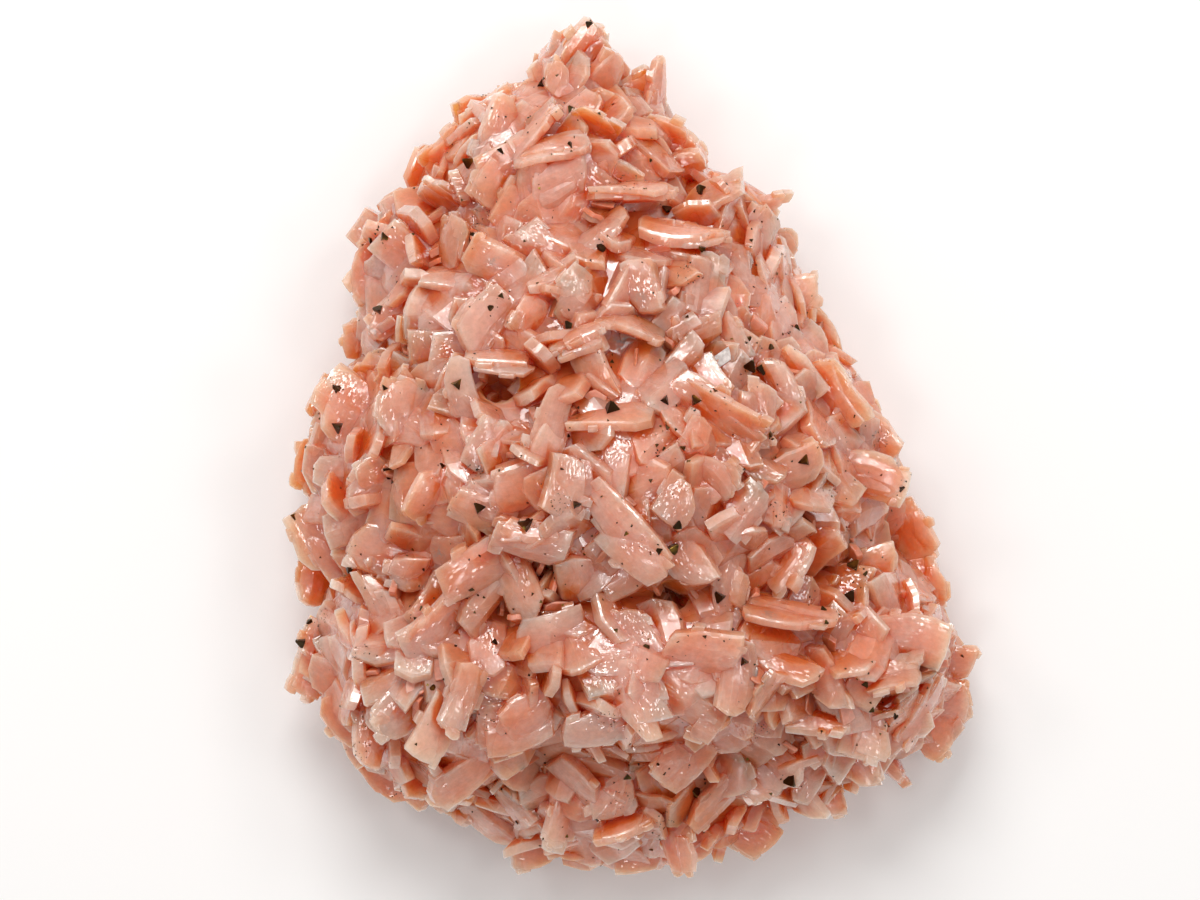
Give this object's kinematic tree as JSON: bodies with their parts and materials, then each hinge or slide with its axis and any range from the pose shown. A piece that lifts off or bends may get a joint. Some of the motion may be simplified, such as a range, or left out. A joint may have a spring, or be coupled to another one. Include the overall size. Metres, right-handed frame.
{
  "type": "dolomite specimen",
  "caption": "Mineral specimen: a domed, pear-shaped cluster of pink saddle dolomite crystals with small chalcopyrite crystals on it, lying on its flat back.",
  "frame": {"origin": "on the flat back that the specimen rests on, under the middle of its outline", "axes": "+Z out of the flat back through the crystals, +Y from the broad foot to the pointed summit, +X to the right when seen from above"},
  "size_m": [0.0811, 0.1004, 0.0393],
  "materials": {
    "dolomite": "translucent pink crystal with a glassy to pearly lustre",
    "chalcopyrite": "tarnished brassy sulphide, dark brown with olive and gold glints"
  },
  "bodies": {
    "root": {"dolomite_cluster": "dolomite", "chalcopyrite_01": "chalcopyrite", "chalcopyrite_02": "chalcopyrite", "chalcopyrite_03": "chalcopyrite", "chalcopyrite_04": "chalcopyrite", "chalcopyrite_05": "chalcopyrite", "chalcopyrite_06": "chalcopyrite", "chalcopyrite_07": "chalcopyrite", "chalcopyrite_08": "chalcopyrite", "chalcopyrite_09": "chalcopyrite", "chalcopyrite_10": "chalcopyrite", "chalcopyrite_11": "chalcopyrite", "chalcopyrite_12": "chalcopyrite", "chalcopyrite_13": "chalcopyrite", "chalcopyrite_14": "chalcopyrite", "chalcopyrite_15": "chalcopyrite", "chalcopyrite_16": "chalcopyrite", "chalcopyrite_17": "chalcopyrite", "chalcopyrite_18": "chalcopyrite", "chalcopyrite_19": "chalcopyrite", "chalcopyrite_20": "chalcopyrite", "chalcopyrite_21": "chalcopyrite", "chalcopyrite_22": "chalcopyrite", "chalcopyrite_23": "chalcopyrite", "chalcopyrite_24": "chalcopyrite", "chalcopyrite_25": "chalcopyrite", "chalcopyrite_26": "chalcopyrite", "chalcopyrite_27": "chalcopyrite", "chalcopyrite_28": "chalcopyrite", "chalcopyrite_29": "chalcopyrite", "chalcopyrite_30": "chalcopyrite"}
  },
  "joints": []
}
